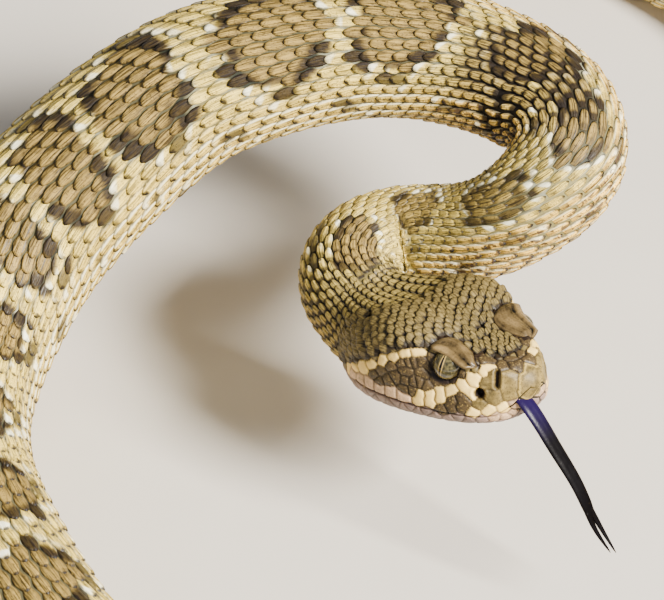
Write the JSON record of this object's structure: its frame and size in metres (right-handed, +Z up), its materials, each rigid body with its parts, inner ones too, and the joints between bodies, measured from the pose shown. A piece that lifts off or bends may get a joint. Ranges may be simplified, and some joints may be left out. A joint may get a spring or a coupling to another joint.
{
  "type": "prairie rattlesnake",
  "caption": "Life-size prairie rattlesnake lying in a loose coil, forepart raised in an S, flat triangular head turned out with the forked tongue down, rattle lifted.",
  "frame": {"origin": "middle of the coil's outline on the ground, under the animal", "axes": "+Z up from the ground; -Y towards the front of the coil, where the head looks out to the front and right; +X to the right"},
  "size_m": [0.2222, 0.2758, 0.0684],
  "materials": {
    "head_skin": "scaled skin, satin, olive brown",
    "jaw_skin": "smooth pale scales, satin",
    "body_skin": "keeled scales, satin, olive tan with darker blotches",
    "tail_skin": "keeled scales, satin, darker bands",
    "eye": "wet gloss, dark olive iris with an upright slit pupil",
    "tongue": "wet gloss, purple at the mouth and black at the tips",
    "rattle_horn": "dry horn, slightly translucent look"
  },
  "bodies": {
    "root": {"head": "head_skin", "lower_jaw": "jaw_skin", "eye_left": "eye", "eye_right": "eye", "tongue": "tongue", "neck": "body_skin", "trunk_01": "body_skin", "trunk_02": "body_skin", "trunk_03": "body_skin", "trunk_04": "body_skin", "trunk_05": "body_skin", "trunk_06": "body_skin", "trunk_07": "body_skin", "trunk_08": "body_skin", "trunk_09": "body_skin", "trunk_10": "body_skin", "trunk_11": "body_skin", "tail": "tail_skin", "rattle": "rattle_horn"}
  },
  "joints": []
}
